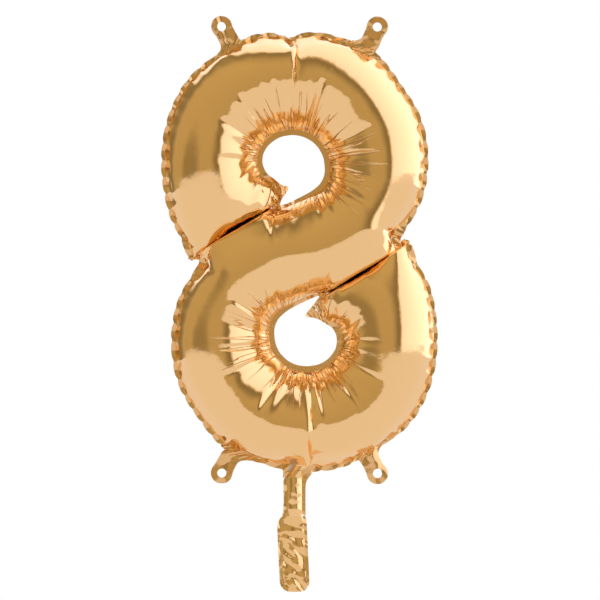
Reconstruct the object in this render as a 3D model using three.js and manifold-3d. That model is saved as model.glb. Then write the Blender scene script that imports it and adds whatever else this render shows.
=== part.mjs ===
// A foil number balloon in the shape of an 8, blown up, in millimetres.
// +X is to the reader's right, +Z is up and the front faces -Y. The origin is the middle of the line that joins
// the ribbon holes of the two upper tabs, which is where the balloon hangs from.
// Two metallised film sheets are welded together round their edge, round the two counters of the 8 and along two
// slanting lines at the waist. A flat film valve lies in the filling neck, and a flat tail with an open mouth
// hangs below it. The welded bands, the tabs and the tail fold where the film is flat.
import * as THREE from "three";
import { mergeVertices } from "three/addons/utils/BufferGeometryUtils.js";
import Module from "manifold-3d";

const wasm = await Module();
wasm.setup();

// The figure: two rings, one above the other.
const RING_PITCH = 143; // between the centres of the two rings' outer weld lines
const RING_RADIUS = 100.3; // from such a centre to the outer weld line
const COUNTER_PITCH = 136; // between the centres of the two counters
const COUNTER_RADIUS = 22.4; // the open round of each counter
const OUTER_BAND = 5.4; // width of the welded band outside the outer weld line
const COUNTER_BAND = 5.2; // width of the welded band round each counter
const WAIST_FILLET = 5; // rounds the notch between the rings
const ROUNDNESS = 0.86; // depth of the blown section as a share of its width

// The slanting stroke between the counters, and the weld beside it.
const STROKE_SLOPE = 30; // degrees below the horizontal, going left
const STROKE_OFFSET = 26.4; // counter's centre to the weld beside the slanting stroke
const WAIST_WELD = 4.4; // width of that weld
const BEAK = [2, 21]; // how far the lobe's tip reaches left of, and below, the counter's centre
const COUNTER_TIP = 42; // counter's centre to the point of the counter's tail

// The filling neck, the tail below it and the valve inside.
const NECK_X = -4; // the neck and tail hang a little left of the middle
const NECK_HALF = 6.5; // half the neck's width between its welds
const NECK_LENGTH = 38.5; // from the ring's outer weld line to the end of the neck
const NECK_BAND = 2.5; // welded edge of the neck
const NECK_FILLET = 9; // where the neck widens into the ring
const TAIL_WIDTH = 23;
const TAIL_LENGTH = 58;
const TAIL_EDGE = 2.2; // welded edge of the tail
const VALVE_WIDTH = 9;
const VALVE_LENGTH = 69;
const VALVE_FILM = 0.3;
const VALVE_SEAT = 3; // height of the weld that holds the valve in the neck

// The four hanging tabs.
const TAB_ANGLE = 30.2; // from the vertical, about each ring's centre
const TAB_REACH = 18; // from the welded band's outer edge to the ribbon hole
const TAB_HOLE_RADIUS = 3.9;
const TAB_HEAD_RADIUS = 8.6;
const TAB_SHANK = 15.4; // width of the straight part
const TAB_ROOT = 25; // width where it leaves the welded band

// Sheets and clearances.
const FILM = 0.4; // one sheet
const PLY_GAP = 0.3; // between two sheets that lie on each other
const EDGE_GAP = 0.3; // between a sheet's edge and the band beside it
const FOLD_GAP = 1.2; // at a fold line, so that the flap turns clear

// Mesh sizes.
const LATTICE = 10; // spacing of the blown sheets' points
const FIELD_STEP = 2.5; // spacing of the grid that the blown height is worked out on
const CURVE_STEPS = 7; // segments in a drawn curve
const ARC_STEP = 9; // longest segment on a round outline
const ARC_TURN = 30; // most degrees that such a segment turns
const DISC_SIDES = 10; // sides of the discs that round a grown outline

const bandThickness = 2 * FILM;
const holeReach = RING_RADIUS + OUTER_BAND + TAB_REACH;
const ringTop = new THREE.Vector2(0, -holeReach * Math.cos(THREE.MathUtils.degToRad(TAB_ANGLE)));
const ringBottom = new THREE.Vector2(0, ringTop.y - RING_PITCH);
const middle = ringTop.clone().add(ringBottom).divideScalar(2);
const counterTop = new THREE.Vector2(0, middle.y + COUNTER_PITCH / 2);
const neckEnd = ringBottom.y - RING_RADIUS - NECK_LENGTH;
const strokeWay = new THREE.Vector2(-1, 0).rotateAround(new THREE.Vector2(), THREE.MathUtils.degToRad(STROKE_SLOPE));
const strokeNormal = new THREE.Vector2(-strokeWay.y, strokeWay.x); // from the upper counter's centre to its weld line

// ---- Plane outlines. In these, x is the part's X and y is its Z. ----

// Points on an arc about a centre, both ends included, from one angle to another in radians.
function arc(centre, radius, from, to) {
  const turn = Math.abs(to - from);
  const count = Math.max(Math.ceil((turn * radius) / ARC_STEP), Math.ceil(turn / THREE.MathUtils.degToRad(ARC_TURN)));
  return Array.from({ length: count + 1 }, (_, i) => {
    const angle = from + ((to - from) * i) / count;
    return new THREE.Vector2(centre.x + radius * Math.cos(angle), centre.y + radius * Math.sin(angle));
  });
}

// An outline without the points that repeat the one before.
const spaced = (points) => points.filter((p, i) => p.distanceTo(points[(i + 1) % points.length]) > 0.3);

const angleOf = (from, to) => Math.atan2(to.y - from.y, to.x - from.x);

// An arc from one angle to another, going clockwise.
function clockwise(centre, radius, from, to) {
  let end = to;
  while (end > from) end -= 2 * Math.PI;
  return arc(centre, radius, from, end);
}

// An arc from one angle to another, going anticlockwise.
function anticlockwise(centre, radius, from, to) {
  let end = to;
  while (end < from) end += 2 * Math.PI;
  return arc(centre, radius, from, end);
}

// The outline of the figure and its neck, clockwise from the neck's lower left corner, grown by a band's width.
function figureOutline(band, neckBand) {
  const radius = RING_RADIUS + band;
  const half = NECK_HALF + neckBand;
  const fillet = NECK_FILLET - (band * NECK_FILLET) / (NECK_FILLET + OUTER_BAND);
  const waist = Math.max(0.6, WAIST_FILLET - band / 2);
  const filletAt = (side) => {
    const x = NECK_X + side * (half + fillet);
    return new THREE.Vector2(x, ringBottom.y - Math.sqrt((radius + fillet) ** 2 - x ** 2));
  };
  const waistAt = (side) => new THREE.Vector2(side * Math.sqrt((radius + waist) ** 2 - (RING_PITCH / 2) ** 2), middle.y);
  const [left, right] = [filletAt(-1), filletAt(1)];
  const [leftWaist, rightWaist] = [waistAt(-1), waistAt(1)];
  return spaced([
    new THREE.Vector2(NECK_X - half, neckEnd),
    ...anticlockwise(left, fillet, 0, angleOf(left, ringBottom)),
    ...clockwise(ringBottom, radius, angleOf(ringBottom, left), angleOf(ringBottom, leftWaist)),
    ...anticlockwise(leftWaist, waist, angleOf(leftWaist, ringBottom), angleOf(leftWaist, ringTop)),
    ...clockwise(ringTop, radius, angleOf(ringTop, leftWaist), angleOf(ringTop, rightWaist)),
    ...anticlockwise(rightWaist, waist, angleOf(rightWaist, ringTop), angleOf(rightWaist, ringBottom)),
    ...clockwise(ringBottom, radius, angleOf(ringBottom, rightWaist), angleOf(ringBottom, right)),
    ...anticlockwise(right, fillet, angleOf(right, ringBottom), Math.PI),
    new THREE.Vector2(NECK_X + half, neckEnd),
  ]);
}

// A point given from the upper counter's centre, along and across the slanting stroke.
const alongStroke = (along, across) =>
  counterTop.clone().addScaledVector(strokeWay, along).addScaledVector(strokeNormal, across);

// The open counter of the upper ring: a round with a tail that runs down beside the slanting stroke.
function upperCounter() {
  const r = COUNTER_RADIUS;
  const at = (x, y) => new THREE.Vector2(counterTop.x + x, counterTop.y + y);
  const tip = alongStroke(COUNTER_TIP * Math.sqrt(1 - (STROKE_OFFSET / COUNTER_TIP) ** 2), STROKE_OFFSET);
  const shoulder = alongStroke(0, STROKE_OFFSET + 0.6);
  const beak = at(-BEAK[0], -BEAK[1]);
  const beakRoot = at(r * Math.cos(3.7), r * Math.sin(3.7));
  const shape = new THREE.Shape();
  shape.moveTo(counterTop.x + r, counterTop.y);
  shape.bezierCurveTo(counterTop.x + r, counterTop.y - 0.8 * r, shoulder.x + 0.2 * r, shoulder.y + 0.1 * r, tip.x, tip.y);
  shape.quadraticCurveTo((tip.x + beak.x) / 2 - 1, (tip.y + beak.y) / 2 + 1, beak.x, beak.y);
  shape.quadraticCurveTo((beak.x + beakRoot.x) / 2, beak.y + 1, beakRoot.x, beakRoot.y);
  shape.absarc(counterTop.x, counterTop.y, r, 3.7, 0, true);
  return spaced(shape.getPoints(CURVE_STEPS));
}

// The lower half of the figure is the upper half turned half round.
const turned = (points) => points.map((p) => new THREE.Vector2(2 * middle.x - p.x, 2 * middle.y - p.y));

const outerLine = figureOutline(0, 0);
const counters = [upperCounter(), turned(upperCounter())];
// Each waist weld runs from a counter to the notch where the two rings meet, and a little past it.
const weldStart = alongStroke(0.7 * COUNTER_TIP, STROKE_OFFSET);
const waistNotch = new THREE.Vector2(middle.x - Math.sqrt(RING_RADIUS ** 2 - (RING_PITCH / 2) ** 2), middle.y);
const weldEnd = waistNotch.clone().add(waistNotch.clone().sub(weldStart).setLength(2 * WAIST_WELD));
const weldEnds = [weldStart, weldEnd];
const waistWelds = [weldEnds, turned(weldEnds)];

function insidePolygon(p, polygon) {
  let inside = false;
  polygon.forEach((a, i) => {
    const b = polygon[(i + 1) % polygon.length];
    if (a.y > p.y !== b.y > p.y && p.x < ((b.x - a.x) * (p.y - a.y)) / (b.y - a.y) + a.x) inside = !inside;
  });
  return inside;
}

function distanceToSegment(p, a, b) {
  const dx = b.x - a.x;
  const dy = b.y - a.y;
  const t = THREE.MathUtils.clamp(((p.x - a.x) * dx + (p.y - a.y) * dy) / (dx * dx + dy * dy), 0, 1);
  return Math.hypot(p.x - a.x - t * dx, p.y - a.y - t * dy);
}

const distanceToOutline = (p, polygon) =>
  polygon.reduce((least, a, i) => Math.min(least, distanceToSegment(p, a, polygon[(i + 1) % polygon.length])), Infinity);

const signedDistance = (p, polygon) => distanceToOutline(p, polygon) * (insidePolygon(p, polygon) ? 1 : -1);

// How far a point is inside the blown area: above 0 between the welds, 0 on a weld line and below 0 outside.
function depthInFigure(p) {
  return Math.min(
    signedDistance(p, outerLine),
    ...counters.map((counter) => -signedDistance(p, counter) - COUNTER_BAND),
    ...waistWelds.map(([a, b]) => distanceToSegment(p, a, b) - WAIST_WELD / 2),
  );
}

// ---- The blown height: a membrane pinned along every weld line, its square root taken so that a long stroke
// comes out with a round section. ----

function membrane() {
  const box = new THREE.Box2().setFromPoints(outerLine).expandByScalar(2 * FIELD_STEP);
  const columns = Math.ceil((box.max.x - box.min.x) / FIELD_STEP) + 1;
  const rows = Math.ceil((box.max.y - box.min.y) / FIELD_STEP) + 1;
  const value = new Float64Array(columns * rows);
  const free = [];
  for (let i = 0; i < columns * rows; i++) {
    const p = new THREE.Vector2(box.min.x + (i % columns) * FIELD_STEP, box.min.y + Math.floor(i / columns) * FIELD_STEP);
    if (depthInFigure(p) > 0) free.push(i);
  }
  const relaxation = 1.9;
  const rounds = 260;
  for (let round = 0; round < rounds; round++)
    for (const i of free) {
      const around = value[i - 1] + value[i + 1] + value[i - columns] + value[i + columns];
      value[i] += relaxation * ((around + FIELD_STEP ** 2) / 4 - value[i]);
    }
  return (p) => {
    const u = THREE.MathUtils.clamp((p.x - box.min.x) / FIELD_STEP, 0, columns - 1.001);
    const v = THREE.MathUtils.clamp((p.y - box.min.y) / FIELD_STEP, 0, rows - 1.001);
    const i = Math.floor(v) * columns + Math.floor(u);
    const [s, t] = [u % 1, v % 1];
    return (value[i] * (1 - s) + value[i + 1] * s) * (1 - t) + (value[i + columns] * (1 - s) + value[i + columns + 1] * s) * t;
  };
}

const tension = membrane();
const strokeHalf = (RING_RADIUS - COUNTER_RADIUS - COUNTER_BAND) / 2;

// The valve's films lie between the sheets, also where the neck closes.
function valveRoom(p) {
  const beside = Math.abs(p.x - NECK_X) - VALVE_WIDTH / 2;
  return beside < NECK_BAND / 2 && p.y < neckEnd + VALVE_LENGTH ? VALVE_FILM + 2 * PLY_GAP : 0;
}

function blownHeight(p) {
  const depth = Math.max(0, depthInFigure(p));
  const height = ROUNDNESS * Math.sqrt(2 * Math.min(tension(p), strokeHalf * depth));
  return Math.max(height, valveRoom(p));
}

function slopeAt(p) {
  const step = 0.8;
  const inward = (dx, dy) => blownHeight(new THREE.Vector2(p.x + dx, p.y + dy));
  return new THREE.Vector2(inward(step, 0) - inward(-step, 0), inward(0, step) - inward(0, -step)).divideScalar(2 * step);
}

// ---- The blown sheets: a triangle lattice cut off at the weld lines and lifted to the blown height. ----

// The direction in which the depth grows fastest.
function wayIn(p) {
  const step = 0.3;
  const at = (dx, dy) => depthInFigure(new THREE.Vector2(p.x + dx, p.y + dy));
  return new THREE.Vector2(at(step, 0) - at(-step, 0), at(0, step) - at(0, -step)).normalize();
}

// The film beside the waist welds and in the neck needs smaller triangles than the rest.
const neckLine = [new THREE.Vector2(NECK_X, neckEnd), new THREE.Vector2(NECK_X, neckEnd + NECK_LENGTH)];
const needsDetail = (p, reach) => [...waistWelds, neckLine].some(([a, b]) => distanceToSegment(p, a, b) < reach);

function latticeTriangles() {
  const box = new THREE.Box2().setFromPoints(outerLine).expandByScalar(LATTICE);
  const rowHeight = (LATTICE * Math.sqrt(3)) / 2;
  const columns = Math.ceil((box.max.x - box.min.x) / LATTICE) + 1;
  const rows = Math.ceil((box.max.y - box.min.y) / rowHeight) + 1;
  const points = [];
  for (let row = 0; row < rows; row++)
    for (let column = 0; column < columns; column++)
      points.push(new THREE.Vector2(box.min.x + (column + (row % 2) / 2) * LATTICE, neckEnd + (row - 1) * rowHeight));
  let triangles = [];
  for (let row = 0; row + 1 < rows; row++)
    for (let column = 0; column + 1 < columns; column++) {
      const i = row * columns + column;
      const [a, b, c, d] = [i, i + 1, i + columns, i + columns + 1];
      triangles.push(...(row % 2 ? [[a, b, d], [a, d, c]] : [[a, b, c], [b, d, c]]));
    }
  const middleOf = (a, b) => points[a].clone().add(points[b]).divideScalar(2);

  // Edges in those places are halved, and the nearest ones are halved again.
  for (const reach of [LATTICE, LATTICE / 2]) {
    const halves = new Map();
    const halfOf = (a, b) => {
      const key = Math.min(a, b) + "," + Math.max(a, b);
      const half = middleOf(a, b);
      if (!halves.has(key)) halves.set(key, needsDetail(half, reach) ? points.push(half) - 1 : -1);
      return halves.get(key);
    };
    triangles = triangles.flatMap((corners) => {
      const half = corners.map((a, k) => halfOf(a, corners[(k + 1) % 3]));
      const split = half.filter((m) => m >= 0).length;
      if (split === 0) return [corners];
      if (split === 3) {
        const [a, b, c] = corners;
        const [ab, bc, ca] = half;
        return [[a, ab, ca], [ab, b, bc], [ca, bc, c], [ab, bc, ca]];
      }
      const first = split === 1 ? half.findIndex((m) => m >= 0) : (half.findIndex((m) => m < 0) + 1) % 3;
      const [a, b, c] = [0, 1, 2].map((step) => corners[(first + step) % 3]);
      const [ab, bc] = [half[first], half[(first + 1) % 3]];
      return split === 1 ? [[a, ab, c], [ab, b, c]] : [[ab, b, bc], [a, ab, bc], [a, bc, c]];
    });
  }

  // Points close to a weld line are moved on to it; the shortest edge at a point says how close that is.
  const shortest = new Array(points.length).fill(Infinity);
  for (const corners of triangles)
    corners.forEach((a, k) => {
      const b = corners[(k + 1) % 3];
      const length = points[a].distanceTo(points[b]);
      shortest[a] = Math.min(shortest[a], length);
      shortest[b] = Math.min(shortest[b], length);
    });
  const depths = points.map((p, i) => {
    const depth = depthInFigure(p);
    if (Math.abs(depth) > 0.4 * shortest[i]) return depth;
    const moved = p.clone();
    for (let pass = 0; pass < 4; pass++) moved.addScaledVector(wayIn(moved), -depthInFigure(moved));
    if (Math.abs(depthInFigure(moved)) > 0.02 || moved.distanceTo(p) > 0.45 * shortest[i]) return depth;
    p.copy(moved);
    return 0;
  });
  const addPoint = (p) => {
    depths.push(0);
    return points.push(p) - 1;
  };

  const crossings = new Map();
  // The point where an edge crosses a weld line.
  const crossing = (inner, outer) => {
    const key = Math.min(inner, outer) + "," + Math.max(inner, outer);
    if (!crossings.has(key)) {
      const a = points[inner].clone();
      const b = points[outer].clone();
      for (let pass = 0; pass < 24; pass++) {
        const half = a.clone().add(b).divideScalar(2);
        (depthInFigure(half) > 0 ? a : b).copy(half);
      }
      crossings.set(key, addPoint(a.add(b).divideScalar(2)));
    }
    return crossings.get(key);
  };
  triangles = triangles.flatMap((corners) => {
    const loop = [];
    corners.forEach((a, k) => {
      const b = corners[(k + 1) % 3];
      if (depths[a] >= 0) loop.push(a);
      if (depths[a] * depths[b] < 0) loop.push(depths[a] > 0 ? crossing(a, b) : crossing(b, a));
    });
    return loop.slice(2).map((c, k) => [loop[0], loop[k + 1], c]);
  });
  triangles = triangles.filter(([a, b, c]) => {
    const centre = points[a].clone().add(points[b]).add(points[c]).divideScalar(3);
    return depthInFigure(centre) > 0.02;
  });

  // A border edge that cuts across a bend of the weld line is split at the line, so that the sheet follows it.
  for (let pass = 0; pass < 2; pass++) {
    const edges = new Set(triangles.flatMap(([a, b, c]) => [a + "," + b, b + "," + c, c + "," + a]));
    for (const triangle of triangles.slice())
      for (let k = 0; k < 3; k++) {
        const [a, b, c] = [0, 1, 2].map((step) => triangle[(k + step) % 3]);
        if (edges.has(b + "," + a) || depths[a] !== 0 || depths[b] !== 0) continue;
        const half = middleOf(a, b);
        if (Math.abs(depthInFigure(half)) < 0.1) continue;
        for (let move = 0; move < 4; move++) half.addScaledVector(wayIn(half), -depthInFigure(half));
        const m = addPoint(half);
        triangle.splice(0, 3, a, m, c);
        triangles.push([m, b, c]);
        break;
      }
  }
  return { points, triangles };
}

const lattice = latticeTriangles();

// One sheet, blown out to the given side: -1 is the front and 1 the back.
function blownSheet(side) {
  const used = [...new Set(lattice.triangles.flat())];
  const place = new Map(used.map((v, i) => [v, i]));
  const outer = [];
  const inner = [];
  for (const v of used) {
    const p = lattice.points[v];
    const height = blownHeight(p);
    const slope = slopeAt(p);
    const normal = new THREE.Vector3(-slope.x, side, -slope.y);
    if (height < 0.01) normal.set(-wayIn(p).x, 0, -wayIn(p).y);
    normal.normalize().multiplyScalar(FILM);
    outer.push(p.x, side * (height + PLY_GAP / 2), p.y);
    const within = Math.max(PLY_GAP / 2 + valveRoom(p), height + PLY_GAP / 2 - side * normal.y);
    inner.push(p.x - normal.x, side * within, p.y - normal.z);
  }
  const faces = [];
  const edges = new Set(lattice.triangles.flatMap(([a, b, c]) => [a + "," + b, b + "," + c, c + "," + a]));
  const flip = side > 0;
  const face = (a, b, c) => faces.push(...(flip ? [a, c, b] : [a, b, c]));
  for (const [a, b, c] of lattice.triangles) {
    face(place.get(a), place.get(b), place.get(c));
    face(place.get(a) + used.length, place.get(c) + used.length, place.get(b) + used.length);
  }
  for (const edge of edges) {
    const [a, b] = edge.split(",").map(Number);
    if (edges.has(b + "," + a)) continue;
    const [p, q] = [place.get(a), place.get(b)];
    face(p, p + used.length, q + used.length);
    face(p, q + used.length, q);
  }
  const geometry = new THREE.BufferGeometry();
  geometry.setAttribute("position", new THREE.Float32BufferAttribute([...outer, ...inner], 3));
  geometry.setIndex(faces);
  return geometry;
}

// ---- Flat pieces: outlines extruded from one y to another, and joined or cut as solids. ----

function plate(points, low, high, holes = []) {
  const shape = new THREE.Shape(points);
  shape.holes = holes.map((hole) => new THREE.Path(hole));
  const geometry = new THREE.ExtrudeGeometry(shape, { depth: high - low, bevelEnabled: false, curveSegments: CURVE_STEPS });
  return geometry.rotateX(Math.PI / 2).translate(0, high, 0);
}

function solidOf(geometry) {
  const bare = geometry.clone();
  bare.deleteAttribute("normal");
  bare.deleteAttribute("uv");
  const merged = mergeVertices(bare, 1e-4);
  return new wasm.Manifold(
    new wasm.Mesh({
      numProp: 3,
      vertProperties: merged.attributes.position.array,
      triVerts: new Uint32Array(merged.index.array),
    }),
  );
}

function geometryOf(solid) {
  const mesh = solid.getMesh();
  const geometry = new THREE.BufferGeometry();
  geometry.setAttribute("position", new THREE.BufferAttribute(new Float32Array(mesh.vertProperties), 3));
  geometry.setIndex(new THREE.BufferAttribute(new Uint32Array(mesh.triVerts), 1));
  return geometry;
}

// A straight strip with round ends, as wide as twice its reach.
function strip(a, b, reach, low, high) {
  const along = angleOf(a, b);
  const ends = [
    ...anticlockwise(b, reach, along - Math.PI / 2, along + Math.PI / 2),
    ...anticlockwise(a, reach, along + Math.PI / 2, along + (3 * Math.PI) / 2),
  ];
  return solidOf(plate(ends, low, high));
}

// An outline's plate grown outwards by a reach, with round corners: a disc on each point and a bar on each edge.
function grownPlate(points, reach, low, high) {
  const disc = Array.from({ length: DISC_SIDES }, (_, i) =>
    new THREE.Vector2(reach, 0).rotateAround(new THREE.Vector2(), (i * 2 * Math.PI) / DISC_SIDES),
  );
  const parts = points.flatMap((p, i) => {
    const q = points[(i + 1) % points.length];
    const side = q.clone().sub(p).normalize().multiplyScalar(reach);
    const across = new THREE.Vector2(side.y, -side.x);
    const bar = [p.clone().add(across), q.clone().add(across), q.clone().sub(across), p.clone().sub(across)];
    return [bar, disc.map((d) => d.clone().add(p))];
  });
  return parts.reduce(
    (solid, outline) => solid.add(solidOf(plate(outline, low, high))),
    solidOf(plate(points, low, high)),
  );
}

const bandLow = -bandThickness / 2;
const bandHigh = bandThickness / 2;
const cutLow = 2 * bandLow;
const cutHigh = 2 * bandHigh;

function outerBand() {
  const inside = figureOutline(EDGE_GAP, EDGE_GAP);
  const below = [inside.at(-1), inside[0]].map((p) => new THREE.Vector2(p.x, neckEnd - NECK_BAND));
  const whole = solidOf(plate(figureOutline(OUTER_BAND, NECK_BAND), bandLow, bandHigh));
  return geometryOf(whole.subtract(solidOf(plate([...inside, ...below], cutLow, cutHigh))));
}

function counterBand(counter) {
  const whole = grownPlate(counter, COUNTER_BAND - EDGE_GAP, bandLow, bandHigh);
  return geometryOf(whole.subtract(solidOf(plate(counter, cutLow, cutHigh))));
}

// The weld beside the slanting stroke, from a counter's band to the outer one.
function waistWeld([from, to], counter) {
  const whole = strip(from, to, WAIST_WELD / 2 - EDGE_GAP, bandLow, bandHigh);
  const within = whole.intersect(solidOf(plate(outerLine, cutLow, cutHigh)));
  return geometryOf(within.subtract(grownPlate(counter, COUNTER_BAND, cutLow, cutHigh)));
}

// ---- Flaps. Each is drawn round its fold line, which is at the local origin, and reaches up local Z. ----

function tabGeometry() {
  const hinge = RING_RADIUS + OUTER_BAND + FOLD_GAP / 2;
  const ring = new THREE.Vector2(0, -hinge);
  const rootRadius = hinge + FOLD_GAP / 2;
  const spread = Math.asin(TAB_ROOT / 2 / rootRadius);
  const head = new THREE.Vector2(0, holeReach - hinge);
  const shankTop = head.y - Math.sqrt(TAB_HEAD_RADIUS ** 2 - (TAB_SHANK / 2) ** 2);
  const rootEdge = rootRadius * Math.cos(spread) - hinge;
  const shape = new THREE.Shape();
  shape.moveTo(TAB_ROOT / 2, rootEdge);
  shape.quadraticCurveTo(TAB_SHANK / 2, rootEdge + 2, TAB_SHANK / 2, rootEdge + (TAB_ROOT - TAB_SHANK) * 0.9);
  shape.lineTo(TAB_SHANK / 2, shankTop);
  const half = Math.atan2(shankTop - head.y, TAB_SHANK / 2);
  shape.absarc(head.x, head.y, TAB_HEAD_RADIUS, half, Math.PI - half, false);
  shape.lineTo(-TAB_SHANK / 2, rootEdge + (TAB_ROOT - TAB_SHANK) * 0.9);
  shape.quadraticCurveTo(-TAB_SHANK / 2, rootEdge + 2, -TAB_ROOT / 2, rootEdge);
  const outline = shape.getPoints(CURVE_STEPS / 2);
  const root = arc(ring, rootRadius, Math.PI / 2 + spread, Math.PI / 2 - spread).slice(1, -1);
  const hole = arc(head, TAB_HOLE_RADIUS, 0, -2 * Math.PI).slice(0, -1);
  return plate([...outline, ...root], bandLow, bandHigh, [hole]);
}

const foldLine = FOLD_GAP / 2;

// The middle strip of the tail between its welded edges; both sheets have one, and it ends in the round mouth.
function tailPly(side) {
  const half = TAIL_WIDTH / 2 - TAIL_EDGE - EDGE_GAP;
  const round = new THREE.Vector2(0, -TAIL_LENGTH + TAIL_WIDTH / 2);
  const reach = TAIL_WIDTH / 2;
  const turn = Math.asin(half / reach);
  const outline = [
    new THREE.Vector2(half, -foldLine),
    new THREE.Vector2(-half, -foldLine),
    ...anticlockwise(round, reach, (3 * Math.PI) / 2 - turn, (3 * Math.PI) / 2 + turn),
  ];
  const near = PLY_GAP / 2;
  return side < 0 ? plate(outline, -near - FILM, -near) : plate(outline, near, near + FILM);
}

// One welded edge of the tail, where the two sheets are one.
function tailEdge(side) {
  const reach = TAIL_WIDTH / 2;
  const inside = reach - TAIL_EDGE;
  const round = new THREE.Vector2(0, -TAIL_LENGTH + reach);
  const turn = Math.asin(inside / reach);
  const outline = [
    new THREE.Vector2(reach, -foldLine),
    new THREE.Vector2(inside, -foldLine),
    ...arc(round, reach, (3 * Math.PI) / 2 + turn, 2 * Math.PI),
  ].map((p) => new THREE.Vector2(side * p.x, p.y));
  return plate(outline, bandLow, bandHigh);
}

// The valve is two film strips that lie on each other and reach from the neck's end up into the figure.
function valveFilm(side) {
  const half = VALVE_WIDTH / 2;
  const outline = [
    new THREE.Vector2(-half, foldLine),
    new THREE.Vector2(half, foldLine),
    new THREE.Vector2(half, VALVE_LENGTH - half),
    ...arc(new THREE.Vector2(0, VALVE_LENGTH - half), half, 0, Math.PI).slice(1),
  ];
  const near = PLY_GAP / 2;
  return side < 0 ? plate(outline, -near - VALVE_FILM, -near) : plate(outline, near, near + VALVE_FILM);
}

// The weld across the neck's end that holds one valve strip to one sheet.
function valveSeat(side) {
  const half = NECK_HALF - EDGE_GAP;
  const outline = [
    new THREE.Vector2(-half, -VALVE_SEAT),
    new THREE.Vector2(half, -VALVE_SEAT),
    new THREE.Vector2(half, 0),
    new THREE.Vector2(-half, 0),
  ];
  const near = PLY_GAP / 2;
  return side < 0 ? plate(outline, -near - FILM, -near) : plate(outline, near, near + FILM);
}

// ---- The assembly ----

const gold = new THREE.MeshStandardMaterial({ color: 0xd9a441, roughness: 0.16, metalness: 1 });
const weldedGold = new THREE.MeshStandardMaterial({ color: 0xb98a34, roughness: 0.3, metalness: 1 });
const clearFilm = new THREE.MeshStandardMaterial({ color: 0xe9e6df, roughness: 0.35, metalness: 0 });

const balloon = new THREE.Group();

function addMesh(name, geometry, material, parent = balloon) {
  const mesh = new THREE.Mesh(geometry, material);
  mesh.name = name;
  parent.add(mesh);
  return mesh;
}

addMesh("front_foil", blownSheet(-1), gold);
addMesh("back_foil", blownSheet(1), gold);
addMesh("outer_seam", outerBand(), weldedGold);
addMesh("upper_counter_seam", counterBand(counters[0]), weldedGold);
addMesh("lower_counter_seam", counterBand(counters[1]), weldedGold);
addMesh("left_waist_weld", waistWeld(waistWelds[0], counters[0]), weldedGold);
addMesh("right_waist_weld", waistWeld(waistWelds[1], counters[1]), weldedGold);

const tabs = [
  ["top_left_tab", ringTop, -TAB_ANGLE],
  ["top_right_tab", ringTop, TAB_ANGLE],
  ["bottom_left_tab", ringBottom, 180 + TAB_ANGLE],
  ["bottom_right_tab", ringBottom, 180 - TAB_ANGLE],
];
for (const [name, ring, degrees] of tabs) {
  const turn = THREE.MathUtils.degToRad(degrees);
  const reach = RING_RADIUS + OUTER_BAND + FOLD_GAP / 2;
  const tab = addMesh(name, tabGeometry(), weldedGold);
  tab.position.set(ring.x + reach * Math.sin(turn), 0, ring.y + reach * Math.cos(turn));
  tab.rotation.y = turn;
}

const tail = new THREE.Group();
tail.position.set(NECK_X, 0, neckEnd - VALVE_SEAT - foldLine);
balloon.add(tail);
addMesh("tail_front_ply", tailPly(-1), gold, tail);
addMesh("tail_back_ply", tailPly(1), gold, tail);
addMesh("tail_left_edge", tailEdge(-1), weldedGold, tail);
addMesh("tail_right_edge", tailEdge(1), weldedGold, tail);

const valve = new THREE.Group();
valve.position.set(NECK_X, 0, neckEnd);
balloon.add(valve);
addMesh("valve_front_film", valveFilm(-1), clearFilm, valve);
addMesh("valve_back_film", valveFilm(1), clearFilm, valve);
addMesh("valve_front_seat", valveSeat(-1), weldedGold, valve);
addMesh("valve_back_seat", valveSeat(1), weldedGold, valve);

export default balloon;
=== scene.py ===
# %% [markdown]
# # A gold foil number balloon
#
# The real balloon is two flat sheets of metallised film, cut to the outline of an eight and
# welded together along every edge. Gas blows it round, and because film hardly stretches, the
# spare edge length gathers into scallops and into creases round the two openings. This script
# follows the same order: cut the flat pattern, weld it, blow it up with cloth simulation, and
# then give each piece its finish. What the simulation's net is too coarse for, or gets wrong, is
# drawn after it: the scallops, the closed valleys, the neck and the tail.

# %% Open the frame
import math
import time

import bmesh
import bpy
import numpy as np
from mathutils import Matrix, Vector, noise


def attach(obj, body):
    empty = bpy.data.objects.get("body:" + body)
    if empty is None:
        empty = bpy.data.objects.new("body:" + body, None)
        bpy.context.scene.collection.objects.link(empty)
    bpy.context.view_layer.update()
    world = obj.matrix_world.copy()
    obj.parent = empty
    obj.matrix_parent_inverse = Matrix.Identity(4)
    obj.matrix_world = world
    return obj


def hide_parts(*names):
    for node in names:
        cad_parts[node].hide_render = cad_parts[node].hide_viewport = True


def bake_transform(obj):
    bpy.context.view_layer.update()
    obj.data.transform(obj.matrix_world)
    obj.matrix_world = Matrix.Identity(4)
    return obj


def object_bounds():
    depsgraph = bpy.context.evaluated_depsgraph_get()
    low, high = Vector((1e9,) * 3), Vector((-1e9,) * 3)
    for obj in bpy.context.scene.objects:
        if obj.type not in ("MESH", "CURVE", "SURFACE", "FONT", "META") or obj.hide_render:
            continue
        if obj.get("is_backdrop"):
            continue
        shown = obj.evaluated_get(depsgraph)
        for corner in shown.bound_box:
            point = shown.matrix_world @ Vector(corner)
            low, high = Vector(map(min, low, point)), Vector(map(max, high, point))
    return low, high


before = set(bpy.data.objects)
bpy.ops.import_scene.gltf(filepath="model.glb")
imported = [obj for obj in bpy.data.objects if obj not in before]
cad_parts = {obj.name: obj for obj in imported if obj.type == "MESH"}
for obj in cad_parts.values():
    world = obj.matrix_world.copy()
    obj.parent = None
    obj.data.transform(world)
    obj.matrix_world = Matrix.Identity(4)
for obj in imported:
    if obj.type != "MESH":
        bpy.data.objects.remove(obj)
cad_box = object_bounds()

started = time.time()
MM = 0.001  # the frame is in metres, and the sizes below are in millimetres
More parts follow.
